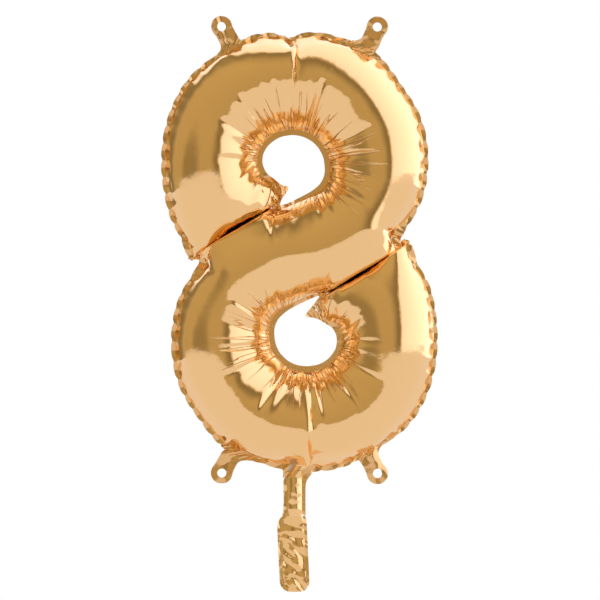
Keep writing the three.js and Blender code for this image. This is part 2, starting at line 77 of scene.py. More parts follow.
MIDDLE_Z = -178.41  # height of the figure's middle in the frame, whose zero is at the top tab holes
print("frame opened with", len(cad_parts), "nodes")

# %% [markdown]
# ## Camera
# The camera stands far away with a long lens and looks straight on, so that the rings look round
# and the sides hardly show. The view is 480 mm wide at the balloon.

# %% Set the camera
CAMERA_AWAY = 3.6
VIEW_WIDTH = 0.48
scene = bpy.context.scene
lens = bpy.data.cameras.new("studio_lens")
camera = bpy.data.objects.new("studio_camera", lens)
scene.collection.objects.link(camera)
camera.location = (0.0004, -CAMERA_AWAY, -0.2184)
camera.rotation_euler = (math.pi / 2, 0, 0)
lens.lens = lens.sensor_width * CAMERA_AWAY / VIEW_WIDTH
lens.clip_end = 50
scene.camera = camera
print("lens", round(lens.lens), "mm")

# %% [markdown]
# ## Sizes of the flat pattern
# A flat tube is wider than the same tube blown round, so the pattern is larger than the finished
# balloon: the rings shrink to about five sixths of their flat size. These sizes are the flat
# ones, in millimetres, measured from the figure's middle.

# %% Sizes of the flat pattern
RING_RADIUS = 123.0
RING_PITCH = 166.0
RING_SHIFT = -11.0  # blowing up slides each ring along the slanting stroke, and this takes it back
OUTER_BAND = 5.0
COUNTER_RADIUS = 26.6
COUNTER_BAND = 4.6
COUNTER_TIP = 42.0  # reach of the sharp corner where the opening meets the stroke
STROKE_SLOPE = math.radians(30)
STROKE_OFFSET = 24.0
NECK_X = -5.0
NECK_HALF = 9.6
NECK_BAND = 2.3
NECK_LENGTH = 33.0
TAIL_LENGTH = 61.0
TAB_TURN = math.radians(30.2)
TAB_REACH = 18.0
TAB_HOLE = 3.9
TAB_HEAD = 8.6
TAB_HALF = 7.7
ROWS_TO_WELD = 23.5  # lattice rows from the middle to a waist weld

ring_top = np.array([RING_SHIFT, RING_PITCH / 2])
along = np.array([-math.cos(STROKE_SLOPE), -math.sin(STROKE_SLOPE)])
across = np.array([math.sin(STROKE_SLOPE), -math.cos(STROKE_SLOPE)])
row_height = -(across @ ring_top + STROKE_OFFSET) / ROWS_TO_WELD
MESH_STEP = row_height / math.sqrt(0.75)
WAIST_WELD = row_height  # the weld is one row of triangles wide
neck_top = -RING_PITCH / 2 - RING_RADIUS + 20
neck_end = -RING_PITCH / 2 - RING_RADIUS - NECK_LENGTH
mouth = neck_end - TAIL_LENGTH

# %% [markdown]
# ## The outline of an opening
# Each opening is a comma: a round hole with one corner pulled out to where the slanting stroke
# passes. It is drawn with a few curves, and the lower opening is the upper one turned half round.

# %% Draw the openings


def curve(points, count):
    """Points on a curve that starts at the first point and ends at the last, pulled by those between."""
    t = np.linspace(0, 1, count, endpoint=False)[:, None]
    p = [np.asarray(q, float) for q in points]
    while len(p) > 1:
        p = [(1 - t) * a + t * b for a, b in zip(p, p[1:])]
    return p[0]


def opening(centre):
    r = COUNTER_RADIUS - COUNTER_BAND
    tip = centre + along * math.sqrt(COUNTER_TIP**2 - STROKE_OFFSET**2) + across * STROKE_OFFSET
    shoulder = centre + across * (STROKE_OFFSET + 0.6)
    beak = centre + np.array([3.0, -24.5])
    root_turn = 3.7
    root = centre + r * np.array([math.cos(root_turn), math.sin(root_turn)])
    turn = np.linspace(root_turn, 0, 28, endpoint=False)
    arc = centre + r * np.stack([np.cos(turn), np.sin(turn)], 1)
    side = curve([centre + [r, 0], centre + [r, -0.8 * r], shoulder + [0.2 * r, 0.1 * r], tip], 16)
    edge = curve([tip, (tip + beak) / 2 + [-1, 1], beak], 10)
    hook = curve([beak, [(beak[0] + root[0]) / 2, beak[1] + 1], root], 10)
    return np.concatenate([side, edge, hook, arc])


openings = [opening(ring_top), -opening(ring_top)]
print("points on an opening:", len(openings[0]))

# %% [markdown]
# ## Distances in the pattern
# Each part of the pattern is a function that gives how far a point is inside it. Taking the
# smaller or larger of two such distances joins or cuts shapes, and a smoothed larger one fillets
# the corner between them.

# %% Distance functions


def to_segment(p, a, b):
    d = b - a
    t = np.clip(((p - a) @ d) / (d @ d), 0, 1)
    return np.linalg.norm(p - a - t[:, None] * d, axis=1)


def in_polygon(p, polygon):
    inside = np.zeros(len(p), bool)
    for a, b in zip(polygon, np.roll(polygon, -1, 0)):
        if a[1] != b[1]:
            crosses = (a[1] > p[:, 1]) != (b[1] > p[:, 1])
            inside ^= crosses & (p[:, 0] < (b[0] - a[0]) * (p[:, 1] - a[1]) / (b[1] - a[1]) + a[0])
    return inside


def in_opening(p, polygon):
    least = np.full(len(p), 1e9)
    for a, b in zip(polygon, np.roll(polygon, -1, 0)):
        least = np.minimum(least, to_segment(p, a, b))
    return np.where(in_polygon(p, polygon), least, -least)


def joined(a, b, fillet):
    h = np.clip(0.5 + 0.5 * (a - b) / fillet, 0, 1)
    return b + (a - b) * h + fillet * h * (1 - h)


def in_figure(p, grow=0.0):
    rings = [RING_RADIUS - np.linalg.norm(p - c, axis=1) for c in (ring_top, -ring_top)]
    return joined(*rings, 5.0) + grow


def in_strip(p, half, end, corner):
    """The neck and tail, one straight strip with a rounded end."""
    side = half - np.abs(p[:, 0] - NECK_X)
    up = p[:, 1] - end
    rounded = corner - np.hypot(np.clip(corner - side, 0, None), np.clip(corner - up, 0, None))
    inner = np.minimum(np.minimum(side, up), rounded)
    return np.minimum(inner, neck_top - p[:, 1])


def blown_outline(p):
    return joined(in_figure(p), in_strip(p, NECK_HALF, mouth - 12, 0.1), 7.0)


# %% [markdown]
# ## Tabs and welds
# Four small tabs with a hole grow from the outer seam, two on each ring. The waist welds are
# straight lines where the two sheets are stuck together, so that the slanting stroke reads as one
# tube over the other.

# %% Tabs, welds and the cut edge
UP, DOWN = math.pi / 2, -math.pi / 2
tab_turns = [UP + TAB_TURN, UP - TAB_TURN, DOWN - TAB_TURN, DOWN + TAB_TURN]
tab_names = ["top_left_tab", "top_right_tab", "bottom_left_tab", "bottom_right_tab"]
tab_ways = [np.array([math.cos(a), math.sin(a)]) for a in tab_turns]
tab_rings = [ring_top, ring_top, -ring_top, -ring_top]
tab_holes = [c + (RING_RADIUS + OUTER_BAND + TAB_REACH) * w for c, w in zip(tab_rings, tab_ways)]
WELD_FROM, WELD_TO = 26, 1.1 * RING_RADIUS  # along the stroke, from the middle of the upper opening
weld_line = [ring_top + along * reach + across * STROKE_OFFSET for reach in (WELD_FROM, WELD_TO)]
weld_lines = [weld_line, [-end for end in weld_line]]


def in_tabs(p):
    best = np.full(len(p), -1e3)
    for hole, centre, way in zip(tab_holes, tab_rings, tab_ways):
        shank = TAB_HALF - to_segment(p, hole, centre + way * RING_RADIUS)
        best = np.maximum(best, np.maximum(shank, TAB_HEAD - np.linalg.norm(p - hole, axis=1)))
    return best


def clear_of_welds(p):
    gap = np.minimum(*(-in_opening(p, o) - COUNTER_BAND for o in openings))
    for a, b in weld_lines:
        gap = np.minimum(gap, to_segment(p, a, b) - WAIST_WELD / 2)
    return gap


def in_blown(p):
    return np.minimum(blown_outline(p), clear_of_welds(p))


def in_film(p):
    film = joined(in_figure(p, OUTER_BAND), in_strip(p, NECK_HALF + NECK_BAND, mouth, 8.0), 9.0)
    film = joined(film, in_tabs(p), 8.0)
    for hole in tab_holes:
        film = np.minimum(film, np.linalg.norm(p - hole, axis=1) - TAB_HOLE)
    return np.minimum(film, np.minimum(*(-in_opening(p, o) for o in openings)))


# %% [markdown]
# ## Cutting the sheet
# A grid whose rows are pushed over by half a step and split into triangles is an even triangle
# lattice, which has no favoured direction for wrinkles. It is turned so that its rows run along
# the waist welds, and each weld is then one clean row. What lies outside the film is deleted, and
# the points along the cut and along the weld lines are slid onto them. The rest is relaxed so
# that the triangles stay even.

# %% Cut the lattice to the film


def flat_points(bm):
    return np.array([v.co[:] for v in bm.verts])[:, [0, 2]]


def face_middles(bm):
    return np.array([f.calc_center_median()[:] for f in bm.faces])[:, [0, 2]]


pattern_reach = 2.2 * (RING_PITCH / 2 + RING_RADIUS + NECK_LENGTH + TAIL_LENGTH)
rows = 2 * int(pattern_reach / row_height / 2)
columns = 2 * rows
bm = bmesh.new()
bmesh.ops.create_grid(bm, x_segments=columns, y_segments=rows, size=1)
for v in bm.verts:
    i = round(v.co.x * columns / 2)
    j = round(v.co.y * rows / 2)
    x, z = -along * (i + j / 2) * MESH_STEP - across * j * row_height
    v.co = (x, 0, z)
far = in_film(flat_points(bm)) < -1.6 * MESH_STEP
bmesh.ops.delete(bm, geom=[v for v, out in zip(bm.verts, far) if out], context="VERTS")
bmesh.ops.triangulate(bm, faces=bm.faces[:], quad_method="SHORT_EDGE")
outside = in_film(face_middles(bm)) < 0
bmesh.ops.delete(bm, geom=[f for f, out in zip(bm.faces, outside) if out], context="FACES")
for _ in range(2):
    ears = [f for f in bm.faces if sum(e.is_boundary for e in f.edges) > 1]
    bmesh.ops.delete(bm, geom=ears, context="FACES")
print("flat sheet:", len(bm.verts), "points,", len(bm.faces), "triangles")

# %% Slide points onto the cuts and welds


def slid(p, distance, near=0.05):
    for _ in range(4):
        value = distance(p)
        dx = (distance(p + [near, 0]) - distance(p - [near, 0])) / (2 * near)
        dz = (distance(p + [0, near]) - distance(p - [0, near])) / (2 * near)
        slope = np.stack([dx, dz], 1)
        p = p - (value / ((slope**2).sum(1) + 1e-6))[:, None] * slope
    return p


bm.faces.index_update()
bm.verts.index_update()
bm.verts.ensure_lookup_table()
blown = in_blown(face_middles(bm)) > 0
for _ in range(3):
    for f in bm.faces:
        beside = [blown[g.index] for e in f.edges for g in e.link_faces if g is not f]
        if sum(b != blown[f.index] for b in beside) > 1:
            blown[f.index] = not blown[f.index]
flat = flat_points(bm)
side_of = np.zeros(len(flat), int)
for f in bm.faces:
    for v in f.verts:
        side_of[v.index] |= 1 if blown[f.index] else 2
on_weld = side_of == 3
on_cut = np.array([v.is_boundary for v in bm.verts])
flat[on_weld] = slid(flat[on_weld], in_blown)
flat[on_cut] = slid(flat[on_cut], in_film)
pairs = np.array([[e.verts[0].index, e.verts[1].index] for e in bm.edges])
free = ~(on_weld | on_cut)
for _ in range(12):
    total = np.zeros_like(flat)
    count = np.zeros(len(flat))
    np.add.at(total, pairs[:, 0], flat[pairs[:, 1]])
    np.add.at(total, pairs[:, 1], flat[pairs[:, 0]])
    np.add.at(count, pairs.ravel(), 1)
    flat[free] = (0.5 * flat + 0.5 * total / count[:, None])[free]
for v, (x, z) in zip(bm.verts, flat):
    v.co = (x, 0, z)
print("points on welds:", on_weld.sum(), " on cut edges:", on_cut.sum())

# %% [markdown]
# ## Welding on the second sheet
# The blown faces are duplicated for the back sheet and welded to the front along the weld lines
# only. Both sheets are bowed out a little, because a perfectly flat bag has no inside for the gas
# to push from.

# %% Weld the back sheet on
FRONT, BACK, WELDED = 0, 1, 2
START_BOW = 4.0
sheet_of = bm.faces.layers.int.new("sheet")
bm.verts.ensure_lookup_table()
bm.faces.ensure_lookup_table()
front = [f for f in bm.faces if blown[f.index]]
for f in bm.faces:
    f[sheet_of] = FRONT if blown[f.index] else WELDED
weld_points = {v for v, on in zip(bm.verts, on_weld) if on}
copied = bmesh.ops.duplicate(bm, geom=front)
back = [g for g in copied["geom"] if isinstance(g, bmesh.types.BMFace)]
for f in back:
    f[sheet_of] = BACK
bm.normal_update()
for faces, way in ((front, -1), (back, 1)):
    if faces[0].normal.y * way < 0:
        bmesh.ops.reverse_faces(bm, faces=faces)
twins = {copied["vert_map"][v]: v for v in weld_points if v in copied["vert_map"]}
for faces, way in ((front, -1), (back, 1)):
    points = list({v for f in faces for v in f.verts} - weld_points - set(twins))
    deep = in_blown(np.array([v.co[:] for v in points])[:, [0, 2]])
    for v, d in zip(points, deep):
        v.co.y = way * START_BOW * min(1, math.sqrt(max(d, 0) / 12))
bmesh.ops.weld_verts(bm, targetmap=twins)
bmesh.ops.delete(bm, geom=[v for v in bm.verts if not v.link_faces], context="VERTS")
bmesh.ops.delete(bm, geom=[e for e in bm.edges if not e.link_faces], context="EDGES")
sheets = bpy.data.meshes.new("welded_sheets")
bm.to_mesh(sheets)
bm.free()

# %% [markdown]
# ## Blowing it up
# Blender's cloth with pressure does the work. The film's flat shape is given as the rest shape,
# so it resists stretching from there, and gravity is off because the gas carries it. The sheets
# are simulated ten times larger than life, where the solver's steps suit them. A first run lets
# the film shorten easily, which gives the smooth overall shape. A second, stiffer run starts from
# it with small ripples added, and they grow into sharp creases as real film does. Both runs start
# from the same numbers each time, so the result never varies.

# %% Measure the welded sheets
SIM_SCALE = 0.01
count = len(sheets.vertices)
start = np.empty(count * 3)
sheets.vertices.foreach_get("co", start)
start = start.reshape(-1, 3)
flat = start * [1, 0, 1]
spot = flat[:, [0, 2]]
face_sheet = np.array([a.value for a in sheets.attributes["sheet"].data])
triangles = np.array([list(f.vertices) for f in sheets.polygons])
outline_depth = blown_outline(spot)
weld_clear = clear_of_welds(spot)
in_tail = spot[:, 1] < neck_end
double = np.unique(triangles[face_sheet != WELDED])
TAIL_GAS = 0.05
gas = np.where(in_tail, TAIL_GAS, 1.0)
print("welded sheets:", count, "points,", len(triangles), "triangles")

# %% The cloth run


def blow(start, frames, compression, bending, air):
    """Runs the cloth from the start shape and gives back where its points end."""
    mesh = bpy.data.meshes.new("blowing")
    mesh.from_pydata((start * SIM_SCALE).tolist(), [], triangles.tolist())
    body = bpy.data.objects.new("blowing", mesh)
    scene.collection.objects.link(body)
    group = body.vertex_groups.new(name="gas")
    for weight in np.unique(gas):
        chosen = double[gas[double] == weight]
        group.add(chosen.tolist(), float(weight), "REPLACE")
    body.shape_key_add(name="Basis")
    rest = body.shape_key_add(name="flat")
    rest.data.foreach_set("co", (flat * SIM_SCALE).ravel())
    cloth = body.modifiers.new("film", "CLOTH")
    film = cloth.settings
    film.rest_shape_key = rest
    film.quality = 6
    film.mass = 0.05
    film.air_damping = air
    film.tension_stiffness = 60
    film.compression_stiffness = compression
    film.shear_stiffness = compression
    film.bending_stiffness = bending
    film.tension_damping = 5
    film.compression_damping = 5
    film.shear_damping = 5
    film.bending_damping = 0.5
    film.use_pressure = True
    film.uniform_pressure_force = 8
    film.vertex_group_pressure = "gas"
    film.effector_weights.gravity = 0
    cloth.collision_settings.use_collision = False
    scene.frame_start = 1
    cloth.point_cache.frame_end = frames + 1
    for number in range(1, frames + 1):
        scene.frame_set(number)
    result = body.evaluated_get(bpy.context.evaluated_depsgraph_get()).data
    end = np.empty(len(result.vertices) * 3)
    result.vertices.foreach_get("co", end)
    bpy.data.objects.remove(body)
    bpy.data.meshes.remove(mesh)
    scene.frame_set(1)
    return end.reshape(-1, 3) / SIM_SCALE


smooth_shape = blow(start, 20, compression=0.2, bending=0.01, air=4)
print("first run:", smooth_shape.min(0).round(1), "to", smooth_shape.max(0).round(1))
print("after", round(time.time() - started), "s")

# %% [markdown]
# ## Ripples and creases
# Film gathers where its edge is too long: in scallops 15 mm apart along the flat outer seam, and
# in creases that run out from each opening. The first are a wave round the rim. The creases are a
# few long folds at set angles, with finer ones between them, and the lower ring has the same ones
# turned half round.

# %% Seed the ripples
SCALLOP_PITCH = 15.0
SCALLOP_HEIGHT = 2.0
SCALLOP_REACH = 7.0
FINE_CREASE = 1.5
LONG_CREASES = [66, 90, 103, 127, 147, 172, 22, 4, -14, -30]  # degrees round the upper opening
CREASE_DEPTH = 2.6
CREASE_WIDTH = 2.4
PLEAT_PITCH = 9.0  # short pleats across the waist welds
PLEAT_HEIGHT = 1.8

upper = spot[:, 1] > 0
centre = np.where(upper[:, None], ring_top, -ring_top)
offset = spot - centre
turn = np.arctan2(offset[:, 1], offset[:, 0])
waves = round(2 * math.pi * RING_RADIUS / SCALLOP_PITCH)
drift = np.array([noise.noise((x * 0.02, z * 0.02, 1.7)) for x, z in spot])
near_rim = np.exp(-np.clip(outline_depth, 0, None) / SCALLOP_REACH) * (weld_clear > 2) * ~in_tail
seeded = smooth_shape.copy()
seeded[:, 1] += SCALLOP_HEIGHT * np.cos(waves * turn + 2.5 * drift) * near_rim

own_turn = np.where(upper, turn, turn + math.pi)
to_seam = np.where(upper, -in_opening(spot, openings[0]), -in_opening(spot, openings[1])) - COUNTER_BAND
ridge = np.array([noise.noise((math.cos(t) * 4, math.sin(t) * 4, 5.0)) for t in own_turn])
fine = np.abs(ridge) * 2 * np.exp(-(((to_seam - 14) / 14) ** 2))
long = np.zeros(count)
for number, degrees in enumerate(LONG_CREASES):
    off_line = np.linalg.norm(offset, axis=1) * np.sin(own_turn - math.radians(degrees))
    ahead = np.cos(own_turn - math.radians(degrees)) > 0
    reach = 34 + 10 * math.sin(2.3 * number)
    fade = np.exp(-((np.clip(to_seam - 6, 0, None) / reach) ** 2))
    long += ahead * np.exp(-((off_line / CREASE_WIDTH) ** 2)) * fade
push = (FINE_CREASE * fine + CREASE_DEPTH * long) * (to_seam > 0.5) * (outline_depth > 12)
seeded[:, 1] -= np.sign(seeded[:, 1]) * push
for a, b in weld_lines:
    from_weld = to_segment(spot, a, b) - WAIST_WELD / 2
    step_along = (spot - a) @ along
    pleat = np.cos(2 * math.pi * step_along / PLEAT_PITCH + 3 * drift)
    seeded[:, 1] += PLEAT_HEIGHT * pleat * np.exp(-((from_weld / 9) ** 2)) * (from_weld > 0.1)

blown_shape = blow(seeded, 20, compression=2, bending=0.02, air=8)
print("second run:", blown_shape.min(0).round(1), "to", blown_shape.max(0).round(1))
print("after", round(time.time() - started), "s")

# %% [markdown]
# ## Onto the frame
# The simulated body is within about five millimetres of the frame. Its tabs come out 8 to 17 mm
# from their places and its neck about 30 mm, so they are slid there. Their holes and fold lines
# then lie where the joints are, and the move fades out in the film round them.

# %% Settle the tabs
HOLE_X, HOLE_Z = 62.224, 178.41  # a tab hole's place in the frame, from the figure's middle
hole_targets = [np.array([s * HOLE_X, z]) for z in (HOLE_Z, -HOLE_Z) for s in (-1, 1)]


def eased(share):
    """A share from 0 to 1 that starts and stops gently."""
    return share * share * (3 - 2 * share)


placed = blown_shape.copy()
for hole, ring, way, target in zip(tab_holes, tab_rings, tab_ways, hole_targets):
    reach = (spot - ring) @ way - RING_RADIUS
    beside = np.abs((spot - ring) @ np.array([-way[1], way[0]]))
    share = np.clip((reach + 6) / 16, 0, 1) * np.clip((44 - beside) / 20, 0, 1) * (reach < 60)
    share = eased(share)
    rim = np.abs(np.linalg.norm(spot - hole, axis=1) - TAB_HOLE) < 0.4
    to_hole = np.array([target[0], 0, target[1]]) - placed[rim].mean(0)
    placed += share[:, None] * to_hole
    print("tab moved", to_hole.round(1), "with", rim.sum(), "rim points")

# %% [markdown]
# ## Closing the waist valleys
# Two tubes that are welded side by side press against each other, and the valley between them
# closes. The cloth run has no contact between them and leaves it open, so its walls are drawn
# together here.

# %% Close the waist valleys
VALLEY_REACH = 8.0
VALLEY_CLOSE = 0.93
for a, b in weld_lines:
    near_weld = to_segment(spot, a, b) < WAIST_WELD
    valley = np.polyfit(placed[near_weld, 0], placed[near_weld, 2], 1)
    slope = np.array([1, valley[0]]) / math.hypot(1, valley[0])
    square = np.array([-slope[1], slope[0]])
    out = (placed[:, [0, 2]] - [0, valley[1]]) @ square
    beside = np.clip(1 - to_segment(spot, a, b) / 30, 0, 1) * (weld_clear > -WAIST_WELD)
    closer = VALLEY_CLOSE * out * np.exp(-((out / VALLEY_REACH) ** 2)) * np.clip(3 * beside, 0, 1)
    placed[:, [0, 2]] -= closer[:, None] * square

# %% Settle the neck
HINGE_Z = -392.311  # height of the tail's fold line in the frame
NECK_CENTRE = -4.0
neck_ring = (np.abs(spot[:, 1] - neck_end) < MESH_STEP) & (np.abs(spot[:, 0] - NECK_X) < 14)
now = placed[neck_ring].mean(0)
goal = np.array([NECK_CENTRE, 0.0, HINGE_Z + 1.5 - MIDDLE_Z])
share = np.clip((neck_top - 14 - spot[:, 1]) / 30, 0, 1) * (np.abs(spot[:, 0] - NECK_X) < 40)
placed += eased(share)[:, None] * (goal - now)
print("neck moved", (goal - now).round(1))

# %% [markdown]
# ## Evening out the rim
# The triangles of the net favour a few directions, and there the simulated rim folds in on
# itself. Real film has no such directions. The movement from flat is averaged along the rim only,
# never across it, so the folds go and the round section stays.

# %% Even out the rim
net = np.array([list(e.vertices) for e in sheets.edges])
round_way = np.stack([-np.sin(turn), np.cos(turn)], 1)
span = spot[net[:, 1]] - spot[net[:, 0]]
span /= np.linalg.norm(span, axis=1)[:, None] + 1e-9
along_rim = ((span * round_way[net[:, 0]]).sum(1)) ** 4
weight_sum = np.full(count, 1e-6)
np.add.at(weight_sum, net[:, 0], along_rim)
np.add.at(weight_sum, net[:, 1], along_rim)
off_tabs = np.clip((-4 - in_tabs(spot)) / 6, 0, 1)
off_neck = np.clip((np.abs(spot[:, 0] - NECK_X) - 13) / 6 + (spot[:, 1] > 0), 0, 1)
off_waist = np.clip((np.abs(spot[:, 1]) - 24) / 18, 0, 1)
even = np.clip((48 - outline_depth) / 16, 0, 1) * np.clip((weld_clear - 5) / 8, 0, 1)
even *= off_tabs * off_neck
even *= off_waist
EVEN_ROUNDS = 70
moved = placed - flat
for _ in range(EVEN_ROUNDS):
    gathered = np.zeros_like(moved)
    np.add.at(gathered, net[:, 0], along_rim[:, None] * moved[net[:, 1]])
    np.add.at(gathered, net[:, 1], along_rim[:, None] * moved[net[:, 0]])
    moved += 0.5 * even[:, None] * (gathered / weight_sum[:, None] - moved)
placed = flat + moved

# %% [markdown]
# ## Crimping the scallops
# Where the long edge gathers, the welded flange stands in rounded lobes with a sharp notch
# between them. The averaging above takes the simulated ones away with the kinks, so they are
# drawn on as a wave with pointed troughs.

# %% Crimp the scallops
LOBE_RISE = 2.6
NOTCH_DEPTH = 1.9
lobe = np.abs(np.sin(waves / 2 * turn + 1.2 * drift))
placed[:, 1] += LOBE_RISE * (lobe - 0.64) * near_rim
outward = np.stack([np.cos(turn), 0 * turn, np.sin(turn)], 1)
rim_share = np.clip(1 - (outline_depth + OUTER_BAND) / OUTER_BAND, 0, 1)
rim_share *= outline_depth > -OUTER_BAND - 0.5
rim_share *= in_tabs(spot) < -6
placed -= (NOTCH_DEPTH * (1 - lobe) ** 3 * rim_share * ~in_tail)[:, None] * outward

# %% [markdown]
# ## The neck and the tail
# The neck is a small round tube, and no gas gets past the valve at its end, so below it the same
# strip is pressed nearly flat. A strip this narrow is only a few triangles wide, so its section
# is worked out from the flat pattern: the distance across the strip is wrapped round an ellipse
# that goes from round to flat.

# %% Shape the neck and the tail
NECK_BLOWN = 6.5
NECK_REAL_LENGTH = 38.5
TAIL_PUFF = 1.4
TAIL_CREASE = 1.1
sheet_side = np.zeros(count)
sheet_side[np.unique(triangles[face_sheet == FRONT])] -= 1
sheet_side[np.unique(triangles[face_sheet == BACK])] += 1
ring_bottom = -RING_PITCH / 2 - RING_RADIUS
below = ring_bottom - spot[:, 1]
share = np.clip((below + 5) / 13, 0, 1) * np.clip((24 - np.abs(spot[:, 0] - NECK_X)) / 8, 0, 1)
share = eased(share)
past_valve = np.clip((neck_end - spot[:, 1]) / TAIL_LENGTH, 0, 1)
slack = np.clip((neck_end + 4 - spot[:, 1]) / 12, 0, 1)
slack = eased(slack)
half = NECK_BLOWN + (NECK_HALF - NECK_BLOWN) * slack
puff = (NECK_BLOWN - 0.5) * (1 - slack) + TAIL_PUFF * slack
over = spot[:, 0] - NECK_X
turned = np.clip(over / NECK_HALF, -1, 1)
wrapped = half * (slack * turned + (1 - slack) * np.sin(turned * math.pi / 2))
wrapped += np.sign(over) * np.clip(np.abs(over) - NECK_HALF, 0, None)
LEAN_TOP, LEAN_MORE = -2.4, 2.8  # the tail's shift to the side at its top, and the change by its end
lean = slack * (LEAN_TOP + LEAN_MORE * past_valve)
ridged = np.array([abs(noise.noise((x * 0.15 + z * 0.09, z * 0.08, 2.2))) for x, z in spot]) - 0.2
small = np.array([noise.noise((x * 0.2, z * 0.2, 6 + s)) for (x, z), s in zip(spot, sheet_side)])
depth = puff * sheet_side * np.cos(turned * math.pi / 2) + slack * 4 * TAIL_CREASE * ridged
depth += 1.2 * small * np.clip(below / 15, 0, 1) * (np.abs(sheet_side) > 0)
stretch = np.where(spot[:, 1] > neck_end, NECK_REAL_LENGTH / NECK_LENGTH, 1.0)
lay = np.stack([wrapped + NECK_CENTRE + lean, depth, (spot[:, 1] - neck_end) * stretch + goal[2]], 1)
placed += share[:, None] * (lay - placed)
VALVE_ROOM = 4.5  # the valve's films hang inside the mouth of the neck
mouth_share = np.clip(1 - np.abs(below + 3) / 22, 0, 1) * np.cos(turned * math.pi / 2)
mouth_share *= np.abs(over) < NECK_HALF
room_needed = VALVE_ROOM * np.clip(2 * mouth_share, 0, 1)
placed[:, 1] = np.where(room_needed > np.abs(placed[:, 1]), sheet_side * room_needed, placed[:, 1])
placed[:, 2] += MIDDLE_Z
print("mouth at z", placed[:, 2].min().round(1), " top", placed[:, 2].max().round(1))

# %% [markdown]
# ## Cutting it into its pieces
# The simulated mesh is one net, and the real balloon's parts meet at its weld lines, so each part
# is that net with the other parts' faces deleted. A face's part is read from where it lies in the
# flat pattern. No welded face falls on the tail's left edge, so that edge keeps its CAD node.

# %% Name every face's piece
middles = flat[triangles].mean(1)[:, [0, 2]]
in_tail_face = (middles[:, 1] < neck_end) & (np.abs(middles[:, 0] - NECK_X) < 30)
past_rim = (in_figure(middles) < -OUTER_BAND) & (in_tabs(middles) > -12) & (middles[:, 1] > neck_end)
nearest_tab = np.argmin([np.linalg.norm(middles - h, axis=1) for h in tab_holes], axis=0)
part = np.full(len(triangles), "outer_seam", dtype="U24")
welded = face_sheet == WELDED
for number, name in enumerate(tab_names):
    away = np.linalg.norm(middles - tab_holes[number], axis=1)
    part[welded & past_rim & (nearest_tab == number) & (away < 40)] = name
for name, o in zip(("upper_counter_seam", "lower_counter_seam"), openings):
    part[welded & (in_opening(middles, o) > -COUNTER_BAND - 0.4)] = name
rim_clear = blown_outline(middles) > 0
for name, (a, b) in zip(("left_waist_weld", "right_waist_weld"), weld_lines):
    part[welded & (part == "outer_seam") & rim_clear & (to_segment(middles, a, b) < WAIST_WELD)] = name
part[welded & in_tail_face & (middles[:, 0] < NECK_X)] = "tail_left_edge"
part[welded & in_tail_face & (middles[:, 0] >= NECK_X)] = "tail_right_edge"
part[(face_sheet == FRONT) & ~in_tail_face] = "front_foil"
part[(face_sheet == BACK) & ~in_tail_face] = "back_foil"
part[(face_sheet == FRONT) & in_tail_face] = "tail_front_ply"
part[(face_sheet == BACK) & in_tail_face] = "tail_back_ply"
names, counts = np.unique(part, return_counts=True)
print(dict(zip(names.tolist(), counts.tolist())))

# %% Lines that the creases follow
# Each point keeps its direction round its opening, and how far along a crease it is: 0 at the seam and 1
# at the end. Creases are longest on the right of the upper opening and next longest at its top.
degrees_round = np.degrees(np.arctan2(np.sin(own_turn), np.cos(own_turn)))
right_share = np.exp(-(((degrees_round + 5) / 42) ** 2))
top_share = np.exp(-(((degrees_round - 95) / 60) ** 2))
crease_reach = 15 + 27 * right_share + 16 * top_share
crease_line = np.stack([np.cos(own_turn), np.sin(own_turn), np.clip(to_seam, 0, None) / crease_reach], 1)
print("creases reach", crease_reach.min().round(), "to", crease_reach.max().round(), "mm")

# %% Make the pieces


def cut_out(name):
    """The faces of one part of the blown net, as an object of its own."""
    bm = bmesh.new()
    bm.from_mesh(sheets)
    bm.verts.ensure_lookup_table()
    for v, co in zip(bm.verts, placed * MM):
        v.co = co
    keeps = bm.verts.layers.float_vector.new("crease_line")
    for v, line in zip(bm.verts, crease_line):
        v[keeps] = line
    others = [f for f, p in zip(bm.faces, part) if p != name]
    bmesh.ops.delete(bm, geom=others, context="FACES")
    mesh = bpy.data.meshes.new(name + "_film")
    bm.to_mesh(mesh)
    bm.free()
    mesh.shade_smooth()
    piece = bpy.data.objects.new(name + "_film", mesh)
    scene.collection.objects.link(piece)
    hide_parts(name)
    return piece


pieces = {name: cut_out(name) for name in names.tolist()}
for piece in pieces.values():
    smooth = piece.modifiers.new("smooth", "SUBSURF")
    smooth.levels = 1
    smooth.render_levels = 1
print(len(pieces), "pieces cut out")

# %% [markdown]
# ## Which body each piece goes with
# The balloon itself is one body, and its pieces ride on it. The tabs and the tail pieces are
# left where they are, on no body.

# %% Ride on the balloon
for name, piece in pieces.items():
    if name.endswith("tab"):
        number = tab_names.index(name)
        target = np.array([hole_targets[number][0], hole_targets[number][1] + MIDDLE_Z])
        way = tab_ways[number]
        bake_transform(piece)
    elif name.startswith("tail"):
        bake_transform(piece)
    else:
        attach(piece, "balloon")

# %% [markdown]

# %% [markdown]
# ## Finishes
# The balloon is metallised nylon film: a mirror of aluminium a few hundredths of a micrometre
# thick behind a tinted lacquer. The metal gives the mirror, the lacquer gives the gold and a
# faint white gloss of its own.

# %% Colour and node helpers


def linear(code):
    """The linear colour of an sRGB hex value."""
    parts = [int(code[i : i + 2], 16) / 255 for i in (1, 3, 5)]
    return [c / 12.92 if c <= 0.04045 else ((c + 0.055) / 1.055) ** 2.4 for c in parts] + [1]


def add_node(tree, kind, inputs, **settings):
    node = tree.nodes.new(kind)
    for key, value in settings.items():
        setattr(node, key, value)
    for key, value in inputs.items():
        if isinstance(value, bpy.types.NodeSocket):
            tree.links.new(value, node.inputs[key])
        else:
            node.inputs[key].default_value = value
    return node


